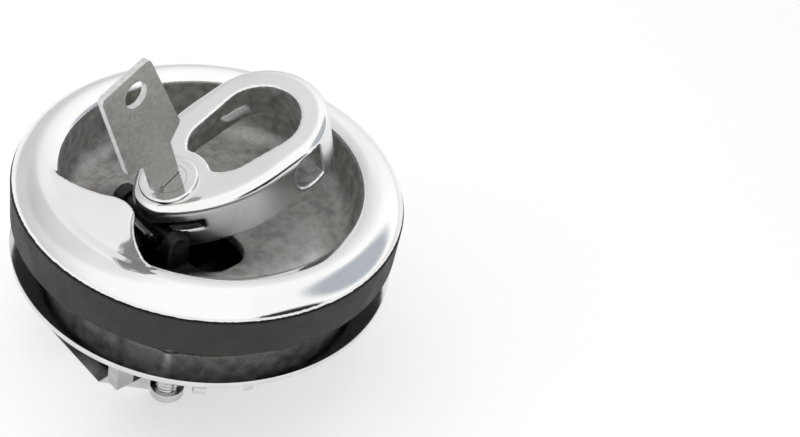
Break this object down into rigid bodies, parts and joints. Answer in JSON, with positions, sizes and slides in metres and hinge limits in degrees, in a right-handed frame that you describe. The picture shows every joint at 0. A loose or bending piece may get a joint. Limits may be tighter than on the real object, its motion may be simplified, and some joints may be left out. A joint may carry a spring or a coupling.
{
  "type": "flush pull latch",
  "caption": "Round flush pull latch: a keyed lifting handle in a dished bezel draws a spring bolt behind a gasketed panel.",
  "frame": {"origin": "centre of the gasket's underside, on the panel's front face", "axes": "+Z out of the front of the panel, +X along the handle towards its pull end; the bolt shoots towards -X"},
  "size_m": [0.0626, 0.0626, 0.0634],
  "materials": {
    "polished_steel": "mirror polished stainless casting, matt inside the cup",
    "seal_rubber": "matt black",
    "screw_steel": "bright, turned",
    "cast_steel": "as cast, walls polished",
    "plate_steel": "bright sheet",
    "spring_steel": "drawn wire",
    "lock_metal": "bright plated",
    "key_metal": "grey, slightly rough, bright at its edges"
  },
  "bodies": {
    "housing": {"bezel_cup": "polished_steel", "gasket": "seal_rubber", "clamp_ring": "polished_steel", "clamp_screws": "screw_steel", "clamp_studs": "screw_steel", "stud_washers": "screw_steel", "stud_nuts": "screw_steel", "stud_collars": "screw_steel", "latch_housing": "cast_steel", "housing_cover": "plate_steel", "cover_screws": "screw_steel", "bolt_spring": "spring_steel", "spring_guide_pin": "screw_steel", "pivot_pin": "screw_steel"},
    "handle": {"pull_handle": "polished_steel", "lock_barrel": "lock_metal", "lock_nut": "lock_metal"},
    "plug": {"lock_plug": "lock_metal", "lock_cam": "screw_steel", "cam_nut": "screw_steel"},
    "key": {"key": "key_metal"},
    "bolt": {"sliding_bolt": "polished_steel"}
  },
  "joints": [
    {"name": "handle_pivot", "type": "hinge", "parent": "housing", "child": "handle", "pos_m": [-0.012, 0, 0.004], "axis": [0, -1, 0], "range_deg": [-19, 6]},
    {"name": "bolt_slide", "type": "slide", "parent": "housing", "child": "bolt", "axis": [1, 0, 0], "range_m": [-0.00511, 0.00162], "deforming": ["bolt_spring"]},
    {"name": "lock_turn", "type": "hinge", "parent": "handle", "child": "plug", "pos_m": [-0.0091, 0, 0.01092], "axis": [-0.3256, 0, 0.9455], "range_deg": [-90, 0]},
    {"name": "key_withdraw", "type": "slide", "parent": "plug", "child": "key", "axis": [-0.3256, 0, 0.9455], "range_m": [0, 0.02]}
  ],
  "couplings": [
    {"joint": "bolt_slide", "follows": "handle_pivot", "m_per_rad": 0.0154}
  ]
}
